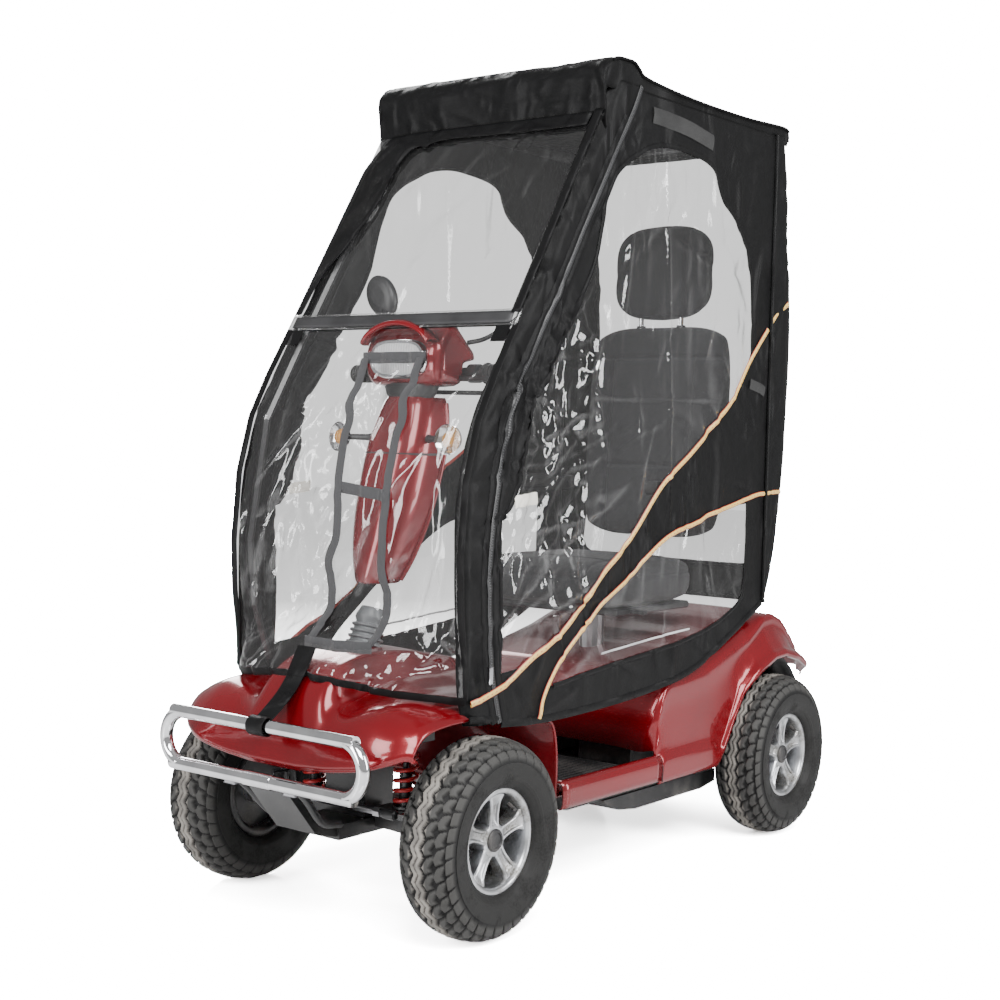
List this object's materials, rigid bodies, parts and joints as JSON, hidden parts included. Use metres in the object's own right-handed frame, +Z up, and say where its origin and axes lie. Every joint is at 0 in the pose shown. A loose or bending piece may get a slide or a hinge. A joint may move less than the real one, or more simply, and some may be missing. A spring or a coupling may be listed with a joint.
{
  "type": "mobility scooter with weather canopy",
  "caption": "Mobility scooter on wide tyres with a swivel seat, tilting tiller and a full weather canopy with clear windscreen and side doors.",
  "frame": {"origin": "on the ground at the middle of the vehicle's length and width", "axes": "+Z up, the front faces -Y, the rider's left is +X"},
  "size_m": [0.644, 1.4249, 1.488],
  "materials": {
    "black_steel": "satin black powder coat",
    "chrome": "bright polished tube",
    "red_gloss": "deep red gloss with clear coat",
    "tyre": "dark grey moulded rubber",
    "alloy": "silver painted cast alloy",
    "steel": "zinc plated",
    "red_steel": "red powder coat",
    "black_plastic": "fine moulded texture",
    "canopy_fabric": "coated black nylon, wrinkled",
    "clear_film": "clear flexible vinyl film",
    "seat_fabric": "dark grey upholstery",
    "lens_clear": "clear and silver lamp",
    "lens_amber": "amber lamp in a clear lens",
    "lens_red": "red lens",
    "mirror": "mirror glass in a black shell"
  },
  "bodies": {
    "chassis": {"chassis_frame": "black_steel", "front_subframe": "black_steel", "battery_tray": "black_plastic", "battery_pack": "black_plastic", "controller": "black_plastic", "transaxle": "black_steel", "motor": "black_steel", "front_bumper": "chrome", "front_cowl": "red_gloss", "floor_pan": "red_gloss", "rear_shroud": "red_gloss", "tail_light": "lens_red", "seat_post": "steel", "bumper_strap": "canopy_fabric", "canopy_roof": "canopy_fabric", "canopy_rear": "canopy_fabric", "windscreen": "clear_film", "front_curtain": "clear_film", "pillar_left": "canopy_fabric", "pillar_right": "canopy_fabric", "hoop_front": "black_steel", "hoop_rear": "black_steel", "spring_left": "red_steel", "spring_right": "red_steel"},
    "arm_left": {"arm_left": "black_steel"},
    "knuckle_left": {"knuckle_left": "black_steel"},
    "arm_right": {"arm_right": "black_steel"},
    "knuckle_right": {"knuckle_right": "black_steel"},
    "wheel_front_left": {"tyre_front_left": "tyre", "rim_front_left": "alloy"},
    "wheel_front_right": {"tyre_front_right": "tyre", "rim_front_right": "alloy"},
    "wheel_rear_left": {"tyre_rear_left": "tyre", "rim_rear_left": "alloy"},
    "wheel_rear_right": {"tyre_rear_right": "tyre", "rim_rear_right": "alloy"},
    "tie_rod": {"tie_rod": "steel"},
    "steering": {"steering_stem": "black_plastic"},
    "tiller": {"tiller_cover": "red_gloss", "tiller_head": "red_gloss", "handlebar": "black_plastic", "headlight": "lens_clear", "indicator_left": "lens_amber", "indicator_right": "lens_amber"},
    "mirror_left": {"mirror_left": "mirror"},
    "mirror_right": {"mirror_right": "mirror"},
    "throttle_lever": {"throttle_lever": "black_plastic"},
    "brake_lever": {"brake_lever": "black_plastic"},
    "ignition_key": {"ignition_key": "steel"},
    "speed_knob": {"speed_knob": "black_plastic"},
    "horn_button": {"horn_button": "black_plastic"},
    "swivel_lever": {"swivel_lever": "black_plastic"},
    "seat_swivel": {"seat_base": "black_steel"},
    "seat_carriage": {"seat_cushion": "seat_fabric"},
    "backrest": {"seat_backrest": "seat_fabric"},
    "headrest": {"headrest": "seat_fabric"},
    "armrest_left": {"armrest_left": "black_plastic"},
    "door_left": {"door_left": "clear_film"},
    "armrest_right": {"armrest_right": "black_plastic"},
    "door_right": {"door_right": "clear_film"}
  },
  "joints": [
    {"name": "steer", "type": "hinge", "parent": "chassis", "child": "steering", "pos_m": [0, -0.44, 0.5], "axis": [0, 0.29, 0.957], "range_deg": [-22, 22]},
    {"name": "suspension_left", "type": "hinge", "parent": "chassis", "child": "arm_left", "pos_m": [0.062, -0.4585, 0.1675], "axis": [0, -1, 0], "range_deg": [-3, 4], "stiffness_Nm_per_rad": 900, "springref_deg": -2.01, "deforming": ["spring_left"]},
    {"name": "kingpin_left", "type": "hinge", "parent": "arm_left", "child": "knuckle_left", "pos_m": [0.19, -0.4585, 0.165], "axis": [0, 0, 1], "range_deg": [-30.2, 30.2]},
    {"name": "wheel_spin_front_left", "type": "hinge", "parent": "knuckle_left", "child": "wheel_front_left", "pos_m": [0.2685, -0.4585, 0.165], "axis": [1, 0, 0], "continuous": true},
    {"name": "wheel_spin_rear_left", "type": "hinge", "parent": "chassis", "child": "wheel_rear_left", "pos_m": [0.2685, 0.5185, 0.165], "axis": [1, 0, 0], "continuous": true},
    {"name": "suspension_right", "type": "hinge", "parent": "chassis", "child": "arm_right", "pos_m": [-0.062, -0.4585, 0.1675], "axis": [0, 1, 0], "range_deg": [-3, 4], "stiffness_Nm_per_rad": 900, "springref_deg": -2.01, "deforming": ["spring_right"]},
    {"name": "kingpin_right", "type": "hinge", "parent": "arm_right", "child": "knuckle_right", "pos_m": [-0.19, -0.4585, 0.165], "axis": [0, 0, 1], "range_deg": [-30.2, 30.2]},
    {"name": "wheel_spin_front_right", "type": "hinge", "parent": "knuckle_right", "child": "wheel_front_right", "pos_m": [-0.2685, -0.4585, 0.165], "axis": [1, 0, 0], "continuous": true},
    {"name": "wheel_spin_rear_right", "type": "hinge", "parent": "chassis", "child": "wheel_rear_right", "pos_m": [-0.2685, 0.5185, 0.165], "axis": [1, 0, 0], "continuous": true},
    {"name": "tie_rod_slide", "type": "slide", "parent": "chassis", "child": "tie_rod", "axis": [1, 0, 0], "range_m": [-0.036, 0.036]},
    {"name": "tiller_tilt", "type": "hinge", "parent": "steering", "child": "tiller", "pos_m": [0, -0.43246, 0.52488], "axis": [-1, 0, 0], "range_deg": [0, 20]},
    {"name": "mirror_turn_left", "type": "hinge", "parent": "tiller", "child": "mirror_left", "pos_m": [0.0865, -0.3, 0.975], "axis": [0, 0, 1], "range_deg": [0, 25]},
    {"name": "mirror_turn_right", "type": "hinge", "parent": "tiller", "child": "mirror_right", "pos_m": [-0.0865, -0.3, 0.975], "axis": [0, 0, -1], "range_deg": [0, 25]},
    {"name": "throttle", "type": "hinge", "parent": "tiller", "child": "throttle_lever", "pos_m": [0, -0.296, 0.8885], "axis": [0, 0, 1], "range_deg": [-18, 18], "stiffness_Nm_per_rad": 0.6},
    {"name": "brake", "type": "hinge", "parent": "tiller", "child": "brake_lever", "pos_m": [0.092, -0.318, 0.912], "axis": [0, 0, 1], "range_deg": [0, 8], "stiffness_Nm_per_rad": 1.5},
    {"name": "key_turn", "type": "hinge", "parent": "tiller", "child": "ignition_key", "pos_m": [0.045, -0.29597, 0.9836], "axis": [0, 0.6601, 0.7511], "range_deg": [0, 90]},
    {"name": "speed_turn", "type": "hinge", "parent": "tiller", "child": "speed_knob", "pos_m": [0, -0.29597, 0.9836], "axis": [0, 0.6601, 0.7511], "range_deg": [0, 270]},
    {"name": "horn_press", "type": "slide", "parent": "tiller", "child": "horn_button", "axis": [0, -0.6601, -0.7511], "range_m": [0, 0.002], "stiffness_N_per_m": 400},
    {"name": "seat_turn", "type": "hinge", "parent": "chassis", "child": "seat_swivel", "pos_m": [0, 0.235, 0.47], "axis": [0, 0, 1], "range_deg": [-10, 10]},
    {"name": "swivel_release", "type": "hinge", "parent": "seat_swivel", "child": "swivel_lever", "pos_m": [0.153, 0.15, 0.477], "axis": [0, -1, 0], "range_deg": [0, 8], "stiffness_Nm_per_rad": 0.8},
    {"name": "seat_slide", "type": "slide", "parent": "seat_swivel", "child": "seat_carriage", "axis": [0, 1, 0], "range_m": [-0.06, 0]},
    {"name": "recline", "type": "hinge", "parent": "seat_carriage", "child": "backrest", "pos_m": [0, 0.43, 0.6], "axis": [-1, 0, 0], "range_deg": [-45, 0]},
    {"name": "headrest_lift", "type": "slide", "parent": "backrest", "child": "headrest", "axis": [0, 0, 1], "range_m": [0, 0.05]},
    {"name": "armrest_flip_left", "type": "hinge", "parent": "backrest", "child": "armrest_left", "pos_m": [0.2, 0.42, 0.7175], "axis": [-1, 0, 0], "range_deg": [0, 85]},
    {"name": "armrest_flip_right", "type": "hinge", "parent": "backrest", "child": "armrest_right", "pos_m": [-0.2, 0.42, 0.7175], "axis": [-1, 0, 0], "range_deg": [0, 85]},
    {"name": "door_swing_left", "type": "hinge", "parent": "chassis", "child": "door_left", "pos_m": [0.2675, 0.4665, 0.9], "axis": [0, 0, 1], "range_deg": [0, 95]},
    {"name": "door_swing_right", "type": "hinge", "parent": "chassis", "child": "door_right", "pos_m": [-0.2675, 0.4665, 0.9], "axis": [0, 0, -1], "range_deg": [0, 95]}
  ],
  "couplings": [
    {"joint": "kingpin_left", "follows": "steer", "ratio": 1.37},
    {"joint": "kingpin_right", "follows": "steer", "ratio": 1.37},
    {"joint": "tie_rod_slide", "follows": "steer", "m_per_rad": 0.0936}
  ]
}
